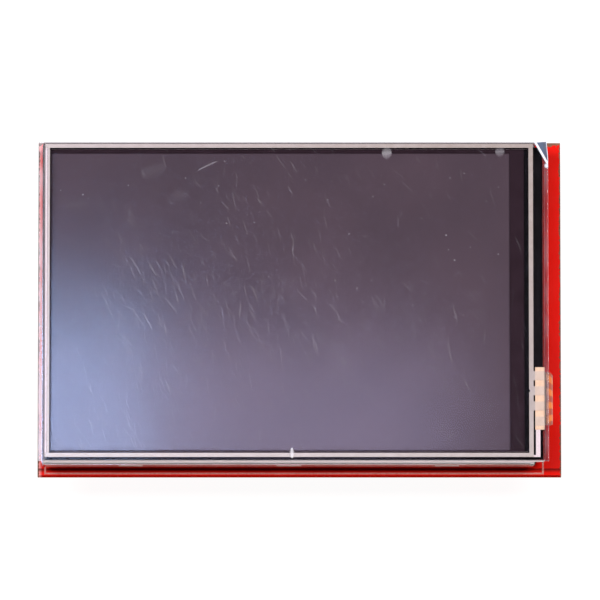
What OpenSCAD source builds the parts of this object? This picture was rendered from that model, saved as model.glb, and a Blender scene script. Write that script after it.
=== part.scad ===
// Display shield: a 3.5 inch colour TFT panel with a resistive touch panel, glued to a red
// board that plugs into a microcontroller board through four header rows.
// Millimetres. X runs along the board, Y across it, and Z up through the display face.
// The origin is under the middle of the board, on the plane of the header pin tips.

/* [Circuit board] */
// How far the board stands out past the touch panel at the flex end
board_margin_flex = 2.7; // [1.2:0.1:10]
// How far the board stands out past the touch panel at the far end
board_margin_far = 0.8; // [0.75:0.05:10]
// How far the board stands out past the touch panel on the near side
board_margin_near = 1.25; // [1:0.05:10]
// How far the board stands out past the touch panel on the back side
board_margin_back = 1.2; // [0.7:0.1:10]
// Thickness of the glass fibre board
board_thickness = 1.6; // [1:0.1:2.4]
// Height of the foam tape between the board and the display
foam_thickness = 1.5; // [1.4:0.1:3]

/* [Picture area] */
// Length of the picture area
view_length = 75; // [68:0.5:90]
// Width of the picture area
view_width = 50; // [47:0.2:64]
// Border of the touch panel past the picture area at the flex end
view_border_flex = 5.65; // [5.2:0.05:7]
// Border of the touch panel past the picture area at the far end
view_border_far = 1.35; // [1.3:0.05:3]
// Border of the touch panel past the picture area on the near side
view_border_near = 2; // [1.6:0.05:4]
// Border of the touch panel past the picture area on the back side
view_border_back = 1.55; // [1.5:0.05:4]

/* [Touch panel] */
// Thickness of the touch glass
touch_glass_thickness = 0.7; // [0.5:0.05:1.1]
// Thickness of the clear touch film
touch_film_gauge = 0.18; // [0.12:0.02:0.3]
// Thickness of the spacer adhesive between the touch film and the touch glass
spacer_gauge = 0.15; // [0.14:0.01:0.3]
// Width of the silver lines along the short sides
silver_width = 0.72; // [0.7:0.01:1.2]
// Width of the silver lines along the long sides
silver_width_long = 0.66; // [0.5:0.01:1]
// Space between the silver lines and the flex end of the panel
silver_margin_flex = 1.84; // [1.8:0.02:2.4]
// Space between the silver lines and the near long side
silver_margin_near = 0.66; // [0.3:0.02:0.9]
// Space between the silver lines and the back long side
silver_margin_back = 0.2; // [0.15:0.05:0.4]
// Space between the silver lines and the far end
silver_margin_far = 0.4; // [0.15:0.05:0.5]

/* [Protective film] */
// Thickness of the clear protective film
cover_film_gauge = 0.08; // [0.05:0.01:0.15]
// How far the film stands over the panel's short sides
cover_overhang = 0.65; // [0.2:0.05:1]
// Length of the creased corner along the short side
crease_length = 4; // [2:0.5:8]
// Width of the creased corner along the long side
crease_width = 2.2; // [1.5:0.1:6]
// Angle at which the creased corner stands up
crease_lift = 38; // [10:1:60]

/* [Touch flex] */
// Thickness of the flexible circuits
flex_gauge = 0.1; // [0.06:0.01:0.12]
// Width of the touch flex where it is bonded
touch_flex_width = 10.46; // [9.8:0.02:12]
// Width of the touch flex at its foot on the board
touch_flex_neck = 5.1; // [4.4:0.1:6]
// Distance from the panel's middle to the middle of the touch flex
touch_flex_offset = 16.3; // [15.9:0.05:17.5]
// Centre line radius of the touch flex bend
touch_flex_bend = 1.25; // [0.6:0.05:1.3]
// Spacing of the four silver fingers
finger_pitch = 2.54; // [2.2:0.02:2.6]
// Width of each silver finger
finger_width = 1.5; // [1.1:0.05:1.8]

/* [Display] */
// Thickness of each sheet of display glass
cell_glass = 0.4; // [0.3:0.05:0.6]
// Thickness of each polarizer
polarizer_gauge = 0.15; // [0.1:0.01:0.22]
// Width of the glass ledge that carries the driver chip
ledge_width = 2.15; // [2.05:0.05:2.4]
// Width of the display flex
display_flex_width = 26; // [20:1:28]
// Thickness of the light guide
guide_thickness = 0.7; // [0.65:0.05:1.2]
// Thickness of each diffusing or prism sheet
sheet_gauge = 0.1; // [0.05:0.01:0.15]
// Thickness of the steel of the rear can
can_gauge = 0.15; // [0.1:0.01:0.25]
// Height of the rear can's long walls
can_height = 2; // [1.7:0.1:2.2]
// Number of light emitting diodes along the flex end
led_count = 8; // [4:1:10]

/* [Headers] */
// Spacing of the pins in a header row
pin_pitch = 2.54; // [2.5:0.01:2.6]
// Distance between the two lines of headers
row_spacing = 48.26; // [46:0.01:50]
// Height of the plastic strips
strip_height = 2.54; // [2:0.1:3]
// Reach of the pins below the plastic strips
pin_reach = 6; // [5:0.5:9]
// Height of the soldered pin ends over the board
pin_tail = 1.2; // [0.9:0.05:1.3]
// Side of the square pins
pin_side = 0.64; // [0.5:0.01:0.7]
// Place along the board of the last pin of the two end rows
row_end_x = 22.8; // [18:0.1:24]

/* [Parts under the board] */
// Length of the memory card socket
socket_length = 14.6; // [13.5:0.1:16]
// Width of the memory card socket
socket_width = 14.8; // [14:0.1:16]
// Height of the memory card socket
socket_height = 1.9; // [1.7:0.05:2.4]
// Length of each level shifter chip
chip_length = 6.5; // [6.2:0.1:8]
// Width of each level shifter chip without its leads
chip_width = 4.4; // [4:0.1:5.3]
// Height of each level shifter chip
chip_height = 1.1; // [0.9:0.05:1.4]

/* [Hidden] */
$fn = 32;

// clearances and small gauges
fit_gap = 0.05;
sheet_gap = 0.1;
cell_gap = 0.1;
reflector_gauge = 0.1;
rim_tape_gauge = 0.05;
touch_tape_gauge = 0.2;
black_tape_gauge = 0.08;
silver_gauge = 0.05;
ink_gauge = 0.03;

// heights, from the pin tips up
board_z = pin_reach + strip_height;
board_top = board_z + board_thickness;
can_z = board_top + foam_thickness;
reflector_z = can_z + can_gauge;
guide_z = reflector_z + reflector_gauge;
diffuser_z = guide_z + guide_thickness;
lower_prism_z = diffuser_z + sheet_gauge;
upper_prism_z = lower_prism_z + sheet_gauge;
rim_tape_z = upper_prism_z + sheet_gauge;
rear_polarizer_z = rim_tape_z + rim_tape_gauge;
tft_z = rear_polarizer_z + polarizer_gauge;
filter_z = tft_z + cell_glass;
front_polarizer_z = filter_z + cell_glass;
touch_tape_z = front_polarizer_z + polarizer_gauge;
touch_glass_z = touch_tape_z + touch_tape_gauge;
spacer_z = touch_glass_z + touch_glass_thickness;
touch_film_z = spacer_z + spacer_gauge;
cover_film_z = touch_film_z + touch_film_gauge;

// rectangles are [x0, y0, x1, y1]
function inset(r, d) = [r[0] + d, r[1] + d, r[2] - d, r[3] - d];
panel_length = view_length + view_border_far + view_border_flex;
panel_width = view_width + view_border_near + view_border_back;
panel_shift_x = (board_margin_far - board_margin_flex) / 2;
panel_shift_y = (board_margin_near - board_margin_back) / 2;
board_length = panel_length + board_margin_far + board_margin_flex;
board_width = panel_width + board_margin_near + board_margin_back;
panel = [panel_shift_x - panel_length / 2, panel_shift_y - panel_width / 2,
         panel_shift_x + panel_length / 2, panel_shift_y + panel_width / 2];

// the can stands a little proud of the glass and stops short of the flex end
can_proud_side = 0.3;
can_proud_end = 0.1;
flex_room = 1.45;
can = [panel[0] - can_proud_end, panel[1] - can_proud_side,
       panel[2] - flex_room, panel[3] + can_proud_side];
can_corner = 0.6;
frame_outer = inset(can, can_gauge + fit_gap);
frame_rim = 0.5;
frame_step = 1;
frame_window = inset(frame_outer, frame_step);
sheets = inset(frame_window, sheet_gap);
led_bay = 1.6;
guide = [sheets[0], sheets[1], sheets[2] - led_bay, sheets[3]];

// the glass cell runs past the can at the flex end
cell_end_margin = 0.85;
tft = [frame_outer[0] + frame_rim + cell_gap, frame_outer[1] + frame_rim + cell_gap,
       panel[2] - cell_end_margin, frame_outer[3] - frame_rim - cell_gap];
filter = [tft[0], tft[1], tft[2] - ledge_width, tft[3]];
tape_land = 0.3;
polarizer = [filter[0] + cell_gap, filter[1] + cell_gap, filter[2] - tape_land, filter[3] - cell_gap];
view = [panel[0] + view_border_far, panel[1] + view_border_near,
        panel[2] - view_border_flex, panel[3] - view_border_back];

// silver lines printed round the touch panel
silver = [panel[0] + silver_margin_far, panel[1] + silver_margin_near,
          panel[2] - silver_margin_flex, panel[3] - silver_margin_back];
silver_end_x = silver[2] - silver_width;
silver_break = 0.34;

// touch flex, bonded between the touch film and the touch glass
touch_flex_y = panel_shift_y - touch_flex_offset;
bond_x = silver[2] + 0.26;
bond = [bond_x, touch_flex_y - touch_flex_width / 2, panel[2], touch_flex_y + touch_flex_width / 2];
function finger_y(i) = touch_flex_y + (1.5 - i) * finger_pitch;
return_width = 0.74;
return_x = bond_x + 0.1;

// both flexes rest on the printed outline of the board
flex_rest_z = board_top + ink_gauge;

// flex bend at the end of the display glass
display_flex_bend = 0.3;
display_flex_bond = 1.1;
display_flex_reach = 14;

module box(r, z0, z1) {
  translate([r[0], r[1], z0]) cube([r[2] - r[0], r[3] - r[1], z1 - z0]);
}

// a flat ring: the outer rectangle less the inner one
module ring(outer, inner, z0, z1) {
  difference() {
    box(outer, z0, z1);
    box(inner, z0 - 1, z1 + 1);
  }
}

// the XZ profile of its children, carried across the board from y0 to y1
module across(y0, y1) {
  translate([0, y1, 0]) rotate([90, 0, 0]) linear_extrude(y1 - y0) children();
}

function arc(cx, cz, r, a0, a1, n = 8) =
  [for (i = [0 : n]) let (a = a0 + (a1 - a0) * i / n) [cx + r * cos(a), cz + r * sin(a)]];

// outline of a ribbon that runs flat at height z_up, turns down at x_turn and comes back
// flat at height z_down; both heights are of its middle plane
function u_bend(x_start, x_turn, x_end, z_up, z_down, r, g) = concat(
  [[x_start, z_up + g / 2]],
  arc(x_turn, z_up - r, r + g / 2, 90, 0),
  arc(x_turn, z_down + r, r + g / 2, 0, -90),
  [[x_end, z_down - g / 2], [x_end, z_down + g / 2]],
  arc(x_turn, z_down + r, r - g / 2, -90, 0),
  arc(x_turn, z_up - r, r - g / 2, 0, 90),
  [[x_start, z_up - g / 2]]);

// ---- touch panel ----

cover_side = 0.1;
crease_bend = 0.9;

// clear film with one corner creased and standing up
module protective_film() {
  g = cover_film_gauge;
  lap = 0.02;
  film = [panel[0] - cover_overhang, panel[1] - cover_side,
          panel[2] + cover_overhang, panel[3] + cover_side / 2];
  a = [film[2] - crease_width, film[3]];
  b = [film[2], film[3] - crease_length];
  run = norm(b - a);
  turn = atan2(b[1] - a[1], b[0] - a[0]);
  // corner height over the crease, and where its tip comes to once the corner is bent up
  reach = crease_width * crease_length / run;
  bend = crease_bend;
  curl = bend * crease_lift * PI / 180;
  tip = lap + bend * sin(crease_lift) + max(reach - lap - curl, 0.1) * cos(crease_lift);
  foot = crease_width * crease_width / run;
  far = reach * 1.5;
  out = [far * cos(crease_lift), far * sin(crease_lift)];
  lower = arc(lap, bend + g / 2, bend + g / 2, -90, crease_lift - 90, 6);
  upper = arc(lap, bend + g / 2, bend - g / 2, crease_lift - 90, -90, 6);
  color([0.9, 0.92, 0.97, 0.3]) union() {
    translate([0, 0, cover_film_z]) linear_extrude(g)
      polygon([[film[0], film[1]], [film[2], film[1]], b, a, [film[0], film[3]]]);
    translate([a[0], a[1], cover_film_z]) rotate([0, 0, turn]) intersection() {
      rotate([90, 0, 90]) linear_extrude(run)
        polygon(concat([[-lap, 0]], lower, [lower[6] + out, upper[0] + out], upper, [[-lap, g]]));
      translate([0, 0, -1]) linear_extrude(far + 2)
        polygon([[lap, -lap], [run - lap, -lap], [foot, tip]]);
    }
  }
}

module touch_film() {
  color([0.8, 0.82, 0.86, 0.35]) box(panel, touch_film_z, touch_film_z + touch_film_gauge);
}

// long side lines, the line of the flex end with its small break, and half of the far line
module film_silver_plan() {
  far_half = silver_width / 2;
  translate([silver[0], silver[1]]) square([silver[2] - silver[0], silver_width_long]);
  translate([silver[0], silver[3] - silver_width_long])
    square([silver[2] - silver[0], silver_width_long]);
  translate([silver[0] + far_half, silver[1]]) square([silver_width - far_half, silver[3] - silver[1]]);
  difference() {
    translate([silver_end_x, silver[1]]) square([silver_width, silver[3] - silver[1]]);
    translate([silver_end_x - 1, finger_y(1) - silver_break / 2]) square([1 + silver_break, silver_break]);
  }
  // the first three lines run on to their fingers
  for (i = [0 : 2])
    translate([silver[2] - 0.05, finger_y(i) - finger_width / 2])
      square([bond_x + 0.05 - silver[2], finger_width]);
}

module film_silver_tracks() {
  color([0.82, 0.77, 0.72]) translate([0, 0, touch_film_z - silver_gauge])
    linear_extrude(silver_gauge) film_silver_plan();
}

// far side line, a line under each long side line, and the return line to the last finger
module glass_silver_plan() {
  far_half = silver_width / 2;
  thin = silver_width_long / 2;
  translate([silver[0], silver[1]]) square([far_half - 0.03, silver[3] - silver[1]]);
  translate([silver_end_x + 0.2, silver[1]]) square([silver_width - 0.4, silver[3] - silver[1]]);
  translate([silver[0], silver[1]]) square([return_x + return_width - silver[0], thin]);
  translate([return_x, silver[1]]) square([return_width, bond[1] - silver[1]]);
}

module glass_silver_tracks() {
  color([0.86, 0.83, 0.8]) translate([0, 0, spacer_z]) linear_extrude(silver_gauge) glass_silver_plan();
}

// adhesive frame, printed round the silver lines
module touch_spacer_frame() {
  spacer_edge = 0.12;
  cover = 0.25;
  hold = inset(panel, spacer_edge);
  window = [silver[0] + silver_width + cover, silver[1] + silver_width_long + cover,
            silver_end_x - cover, silver[3] - silver_width_long - cover];
  color([0.75, 0.76, 0.74, 0.5]) difference() {
    ring(hold, window, spacer_z, touch_film_z);
    translate([0, 0, touch_film_z - silver_gauge]) linear_extrude(1) film_silver_plan();
    translate([0, 0, spacer_z - 1]) linear_extrude(1 + silver_gauge) glass_silver_plan();
    // the flex end lies in a gap of the adhesive
    box([bond[0], bond[1], bond[2] + 1, bond[3]], spacer_z - 1, touch_film_z + 1);
  }
}

module touch_glass() {
  color([0.6, 0.68, 0.7, 0.35]) box(panel, touch_glass_z, touch_glass_z + touch_glass_thickness);
}

touch_flex_z = spacer_z + flex_gauge / 2;
touch_flex_foot = flex_rest_z + flex_gauge / 2;
touch_flex_reach = 4.2;

// polyimide ribbon: bonded end, bend round the panel's end, a taper on its way down, and a
// narrower foot on the board
module touch_flex() {
  step = 0.77;
  corner = 0.45;
  shoulder = touch_flex_width / 2 - step;
  hip = shoulder - corner;
  neck = touch_flex_neck / 2;
  turn_z = touch_flex_z - touch_flex_bend;
  foot_z = touch_flex_foot + touch_flex_bend;
  end_x = panel[2] - touch_flex_reach;
  far_x = panel[2] + touch_flex_bend + flex_gauge;
  color([0.85, 0.45, 0.12]) intersection() {
    across(touch_flex_y - touch_flex_width, touch_flex_y + touch_flex_width)
      polygon(u_bend(bond[0], panel[2], end_x, touch_flex_z, touch_flex_foot, touch_flex_bend, flex_gauge));
    union() {
      translate([0, touch_flex_y, turn_z]) linear_extrude(touch_flex_bend + 1)
        polygon([[bond[0] - 1, -touch_flex_width / 2], [panel[2], -touch_flex_width / 2],
                 [panel[2], -shoulder], [far_x - corner, -shoulder], [far_x, -hip], [far_x, hip],
                 [far_x - corner, shoulder], [panel[2], shoulder], [panel[2], touch_flex_width / 2],
                 [bond[0] - 1, touch_flex_width / 2]]);
      translate([0, touch_flex_y, 0]) rotate([0, 0, 90]) across(-far_x, 1 - end_x)
        polygon([[-hip, turn_z], [-neck, foot_z], [-neck, board_top - 1], [neck, board_top - 1],
                 [neck, foot_z], [hip, turn_z]]);
    }
  }
}

// printed silver contacts on the bonded end of the flex
module touch_flex_fingers() {
  color([0.9, 0.82, 0.74]) for (i = [0 : 3])
    box([bond[0], finger_y(i) - finger_width / 2, bond[2], finger_y(i) + finger_width / 2],
        spacer_z + flex_gauge, touch_film_z);
}

module touch_flex_solder() {
  pad_pitch = 1.15;
  pad_width = 0.6;
  pad_length = 1.3;
  end_x = panel[2] - touch_flex_reach;
  top_z = flex_rest_z + flex_gauge;
  color([0.75, 0.76, 0.78]) for (i = [0 : 3])
    translate([end_x - 0.5, touch_flex_y + (i - 1.5) * pad_pitch, 0])
      across(-pad_width / 2, pad_width / 2)
        difference() {
          polygon([[0, board_top], [pad_length, board_top], [pad_length, top_z + 0.05],
                   [pad_length - 0.3, top_z + 0.15], [0.3, top_z + 0.1]]);
          translate([0.5, board_top - 1]) square([pad_length, top_z - board_top + 1]);
        }
}

// ---- liquid crystal display ----

module touch_mounting_tape() {
  tape_clear = 0.05;
  color([0.12, 0.12, 0.13]) ring(polarizer, inset(view, -tape_clear), touch_tape_z, touch_glass_z);
}

module front_polarizer() {
  color([0.16, 0.14, 0.17]) box(polarizer, front_polarizer_z, front_polarizer_z + polarizer_gauge);
}

module colour_filter_glass() {
  color([0.3, 0.3, 0.34]) box(filter, filter_z, filter_z + cell_glass);
}

module tft_glass() {
  color([0.45, 0.5, 0.52]) box(tft, tft_z, tft_z + cell_glass);
}

module rear_polarizer() {
  color([0.2, 0.19, 0.22]) box(polarizer, rear_polarizer_z, rear_polarizer_z + polarizer_gauge);
}

driver_size = [0.8, 20, 0.3];

// bare chip bonded to the ledge of the glass
module driver_chip() {
  color([0.35, 0.36, 0.4]) translate([filter[2] + cell_gap, panel_shift_y - driver_size[1] / 2, filter_z])
    cube(driver_size);
}

// black tape over the ledge, folded down past the bend of the display flex
module ledge_tape() {
  g = black_tape_gauge;
  x0 = polarizer[2] + fit_gap;
  x1 = tft[2] + display_flex_bend + flex_gauge + 0.07;
  z1 = front_polarizer_z;
  color([0.07, 0.07, 0.09]) across(tft[1], tft[3])
    polygon([[x0, z1], [x1, z1], [x1, can_z], [x1 + g, can_z], [x1 + g, z1 + g], [x0, z1 + g]]);
}

display_flex_offset = 0.6;
display_flex_y0 = panel_shift_y + display_flex_offset - display_flex_width / 2;

module display_flex() {
  color([0.8, 0.42, 0.12]) across(display_flex_y0, display_flex_y0 + display_flex_width)
    polygon(u_bend(tft[2] - display_flex_bond, tft[2] + 0.05, tft[2] - display_flex_reach,
                   filter_z + flex_gauge / 2, flex_rest_z + flex_gauge / 2, display_flex_bend, flex_gauge));
}

// row of small solder joints across the end of the display flex
module display_flex_solder() {
  joint_pitch = 1;
  joint_width = 0.5;
  joint_length = 1.4;
  lap = 0.7;
  x0 = tft[2] - display_flex_reach - joint_length + lap;
  top_z = flex_rest_z + flex_gauge;
  color([0.75, 0.76, 0.78])
    for (y = [display_flex_y0 + joint_pitch / 2 : joint_pitch : display_flex_y0 + display_flex_width - 0.3])
      across(y - joint_width / 2, y + joint_width / 2)
        polygon([[x0, board_top], [x0 + joint_length - lap, board_top],
                 [x0 + joint_length - lap, top_z], [x0 + joint_length, top_z],
                 [x0 + joint_length - 0.2, top_z + 0.12], [x0 + 0.3, top_z + 0.08]]);
}

// ---- backlight ----

module rim_tape() {
  color([0.1, 0.1, 0.1])
    ring([tft[0], tft[1], frame_outer[2] - fit_gap, tft[3]], inset(view, -0.1), rim_tape_z, rear_polarizer_z);
}

module upper_prism_sheet() {
  color([0.85, 0.87, 0.9]) box(sheets, upper_prism_z, upper_prism_z + sheet_gauge);
}

module lower_prism_sheet() {
  color([0.82, 0.85, 0.88]) box(sheets, lower_prism_z, lower_prism_z + sheet_gauge);
}

module diffuser_sheet() {
  color([0.93, 0.93, 0.93]) box(sheets, diffuser_z, diffuser_z + sheet_gauge);
}

module light_guide() {
  color([0.85, 0.9, 0.92]) box(guide, guide_z, guide_z + guide_thickness);
}

module reflector_sheet() {
  color([0.95, 0.95, 0.95]) box(sheets, reflector_z, reflector_z + reflector_gauge);
}

led_size = [0.8, 3, 0.5];
led_x = guide[2] + fit_gap;

module backlight_leds() {
  step = (sheets[3] - sheets[1] - 4) / led_count;
  color([0.95, 0.9, 0.6]) for (i = [0 : led_count - 1])
    translate([led_x, panel_shift_y + (i - (led_count - 1) / 2) * step - led_size[1] / 2,
               guide_z + flex_gauge])
      cube(led_size);
}

module led_flex() {
  side = 0.5;
  color([0.9, 0.9, 0.85])
    box([led_x, sheets[1] + side, sheets[2] - fit_gap, sheets[3] - side], guide_z, guide_z + flex_gauge);
}

lug_length = 4;
lug_height = 0.5;
lug_z = can_z + 0.9;
lug_spots = [-0.32, 0, 0.32];
function lug_x(k) = (can[0] + can[2]) / 2 + k * (can[2] - can[0]);

// white moulded frame: a stepped ring with lugs that snap into the can's windows
module backlight_frame() {
  rim_top = can_z + can_height + 0.1;
  glass_pocket = [frame_outer[0] + frame_rim, frame_outer[1] + frame_rim,
                  frame_outer[2] + 1, frame_outer[3] - frame_rim];
  color([0.93, 0.93, 0.9]) difference() {
    union() {
      translate([0, 0, reflector_z]) linear_extrude(rim_top - reflector_z)
        rounded(frame_outer, can_corner - can_gauge - fit_gap);
      for (k = lug_spots, side = [can[1] + fit_gap, can[3] - can_gauge - fit_gap])
        translate([lug_x(k) - lug_length / 2 + fit_gap, side, lug_z + fit_gap])
          cube([lug_length - 2 * fit_gap, can_gauge, lug_height - 2 * fit_gap]);
    }
    box(frame_window, reflector_z - 1, rim_top + 1);
    box(glass_pocket, rim_tape_z, rim_top + 1);
  }
}

// folded stainless can, open towards the glass, with a low wall at the flex end
module rear_can() {
  color([0.78, 0.78, 0.8]) difference() {
    translate([0, 0, can_z]) linear_extrude(can_height) rounded(can, can_corner);
    translate([0, 0, reflector_z]) linear_extrude(can_height)
      rounded(inset(can, can_gauge), can_corner - can_gauge);
    box([can[2] - 1, can[1] - 1, can[2] + 1, can[3] + 1], rim_tape_z, rim_tape_z + 5);
    for (k = lug_spots)
      box([lug_x(k) - lug_length / 2, can[1] - 1, lug_x(k) + lug_length / 2, can[3] + 1],
          lug_z, lug_z + lug_height);
  }
}

// rectangle with round corners, from circles and squares so that its corners stay true
module rounded(r, c) {
  union() {
    translate([r[0] + c, r[1]]) square([r[2] - r[0] - 2 * c, r[3] - r[1]]);
    translate([r[0], r[1] + c]) square([r[2] - r[0], r[3] - r[1] - 2 * c]);
    for (x = [r[0] + c, r[2] - c], y = [r[1] + c, r[3] - c]) translate([x, y]) circle(c);
  }
}

foam_tape_width = 7;
foam_tape_start = 4;
foam_tape_stop = 18;
foam_tape_side = 15;
foam_tape_cut = 1;

// four strips of double sided foam tape between the board and the can
module foam_tape() {
  x0 = can[0] + foam_tape_start;
  x1 = can[2] - foam_tape_stop;
  inner = foam_tape_side - foam_tape_width / 2 - foam_tape_cut;
  color([0.92, 0.92, 0.9]) {
    for (y = [-foam_tape_side, foam_tape_side])
      box([x0, panel_shift_y + y - foam_tape_width / 2, x1, panel_shift_y + y + foam_tape_width / 2],
          board_top, can_z);
    for (x = [x0, x1 - foam_tape_width])
      box([x, panel_shift_y - inner, x + foam_tape_width, panel_shift_y + inner], board_top, can_z);
  }
}

// ---- board and headers ----

digital_gap = 4.064;
analog_gap = 5.08;
low_count = 8;
high_count = 6;
power_count = 8;
analog_count = 6;
row_y = row_spacing / 2;
high_end_x = row_end_x - (low_count - 1) * pin_pitch - digital_gap;
power_end_x = row_end_x - (analog_count - 1) * pin_pitch - analog_gap;
// each row is [count, x of its last pin, y]
ROWS = [[low_count, row_end_x, row_y], [high_count, high_end_x, row_y],
        [power_count, power_end_x, -row_y], [analog_count, row_end_x, -row_y]];
hole_r = 0.51;

// its children at every pin of a row
module each_pin(row) {
  for (i = [0 : row[0] - 1]) translate([row[1] - i * pin_pitch, row[2], 0]) children();
}

module circuit_board() {
  color([0.8, 0.07, 0.05]) difference() {
    translate([-board_length / 2, -board_width / 2, board_z])
      cube([board_length, board_width, board_thickness]);
    for (row = ROWS) each_pin(row) translate([0, 0, board_z - 1])
      cylinder(r = hole_r, h = board_thickness + 2);
  }
}

// printed outlines: the display on the top, the chips and the socket underneath
module board_silkscreen() {
  line = 0.28;
  edge = 0.15;
  outline = [panel[0] + 0.3, edge - board_width / 2, panel[2] - edge, board_width / 2 - edge];
  color([0.95, 0.9, 0.88]) {
    ring(outline, inset(outline, line), board_top, board_top + ink_gauge);
    // outlines of the chips, the regulator and the header strips on the under side
    under_board() {
      for (s = SHIFTERS) outline_round(s, [chip_length + 1.4, chip_width + 2 * lead_out + 1.4]);
      outline_round(REGULATOR, [regulator_size[0] + 1, regulator_size[1] + 2 * regulator_reach + 1]);
      for (row = ROWS)
        outline_round([row[1] - (row[0] - 1) * pin_pitch / 2, row[2]],
                      [row[0] * pin_pitch + 1, pin_pitch + 1]);
    }
  }
}

// printed rectangle round a part on the under side
module outline_round(spot, size) {
  line = 0.18;
  r = [spot[0] - size[0] / 2, spot[1] - size[1] / 2, spot[0] + size[0] / 2, spot[1] + size[1] / 2];
  ring(r, inset(r, line), 0, ink_gauge);
}

module header_strip(row) {
  half = pin_pitch / 2;
  depth = 1.25;
  notch = 0.45;
  clear = 0.01;
  color([0.06, 0.06, 0.06]) translate([0, 0, pin_reach]) linear_extrude(strip_height) difference() {
    union() {
      // the web that joins the eight sided blocks
      translate([row[1] - (row[0] - 0.5) * pin_pitch, row[2] - depth + notch])
        square([row[0] * pin_pitch, 2 * (depth - notch)]);
      each_pin(row)
        polygon([[-half + notch, -depth], [half - notch, -depth], [half, -depth + notch],
                 [half, depth - notch], [half - notch, depth], [-half + notch, depth],
                 [-half, depth - notch], [-half, -depth + notch]]);
    }
    each_pin(row) square(pin_side + 2 * clear, center = true);
  }
}

module pin_profile() {
  total = board_top + pin_tail;
  side = pin_side / 2;
  tip = 0.14;
  taper = 0.5;
  polygon([[-tip, 0], [tip, 0], [side, taper], [side, total - taper], [tip, total], [-tip, total],
           [-side, total - taper], [-side, taper]]);
}

// square gold plated pins, bevelled at both ends
module header_pins(row) {
  color([0.85, 0.7, 0.35]) each_pin(row) intersection() {
    across(-1, 1) pin_profile();
    rotate([0, 0, 90]) across(-1, 1) pin_profile();
  }
}

module digital_low_strip() { header_strip(ROWS[0]); }
module digital_high_strip() { header_strip(ROWS[1]); }
module power_strip() { header_strip(ROWS[2]); }
module analog_strip() { header_strip(ROWS[3]); }
module digital_low_pins() { header_pins(ROWS[0]); }
module digital_high_pins() { header_pins(ROWS[1]); }
module power_pins() { header_pins(ROWS[2]); }
module analog_pins() { header_pins(ROWS[3]); }

// solder that fills each hole and rises up the pin in a hollow cone
module header_solder() {
  t = board_thickness;
  pad_r = hole_r + 0.39;
  neck_r = pin_side / 2 + 0.16;
  rise = 0.74;
  color([0.74, 0.75, 0.77]) for (row = ROWS) each_pin(row) difference() {
    translate([0, 0, board_z]) rotate_extrude()
      polygon([[0, 0], [hole_r, 0], [hole_r, t], [pad_r, t], [pad_r - 0.22, t + 0.22 * rise],
               [neck_r + 0.06, t + 0.57 * rise], [neck_r, t + 0.92 * rise], [0, t + rise]]);
    translate([0, 0, board_top]) cube([pin_side, pin_side, 3 * t + 4], center = true);
  }
}

// ---- parts under the board: each is drawn upwards, then turned over ----

module under_board() {
  translate([0, 0, board_z]) mirror([0, 0, 1]) children();
}

socket_sheet = 0.2;
socket_setback = 0.35;
socket_x = board_length / 2 - socket_setback - socket_length / 2;
socket_floor = 0.6;
contact_count = 8;
contact_pitch = 1.1;
contact_length = 6.2;
contact_tail = 0.8;
contact_width = 0.4;

// folded steel cover: roof with two spring tongues and a window, side walls and solder feet
module card_socket_shell() {
  l = socket_length / 2;
  w = socket_width / 2;
  t = socket_sheet;
  foot = 0.9;
  foot_length = 1.4;
  foot_start = 0.8;
  wall_gap = 0.35;
  thumb_r = 3.4;
  thumb_set = 1.2;
  window_start = 1.6;
  window_length = 1.5;
  window_width = contact_count * contact_pitch - 1;
  tongue_start = 3.4;
  tongue_length = 4.8;
  tongue_width = 1.2;
  tongue_edge = 3.2;
  slit = 0.4;
  color([0.8, 0.8, 0.82]) under_board() translate([socket_x, 0, 0]) {
    difference() {
      translate([-l, -w, 0]) cube([socket_length, socket_width, socket_height]);
      translate([-l - 1, -w + t, -1]) cube([socket_length + 2, socket_width - 2 * t, socket_height - t + 1]);
      // the thumb cut-out in the mouth edge
      translate([l + thumb_set, 0, 0]) cylinder(r = thumb_r, h = 4 * socket_height, center = true);
      // slots round the two spring tongues
      for (s = [-1, 1])
        translate([-l + tongue_start, s * (w - tongue_edge), socket_height - t - 1]) difference() {
          translate([0, -tongue_width / 2 - slit, 0])
            cube([tongue_length + slit, tongue_width + 2 * slit, 3]);
          translate([-1, -tongue_width / 2, -1]) cube([tongue_length + 1, tongue_width, 5]);
        }
      // the window over the contacts
      translate([-l + window_start, -window_width / 2, socket_height - t - 1])
        cube([window_length, window_width, 3]);
      // low gaps in the side walls between the feet
      for (s = [-1, 1]) translate([-l + foot_start + foot_length, s * w - 1, -1])
        cube([socket_length - 2 * (foot_start + foot_length), 2, 1 + wall_gap]);
    }
    for (s = [-1, 1], x = [-l + foot_start, l - foot_start - foot_length])
      translate([x, s > 0 ? w : -w - foot, 0]) cube([foot_length, foot, t]);
  }
}

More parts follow.
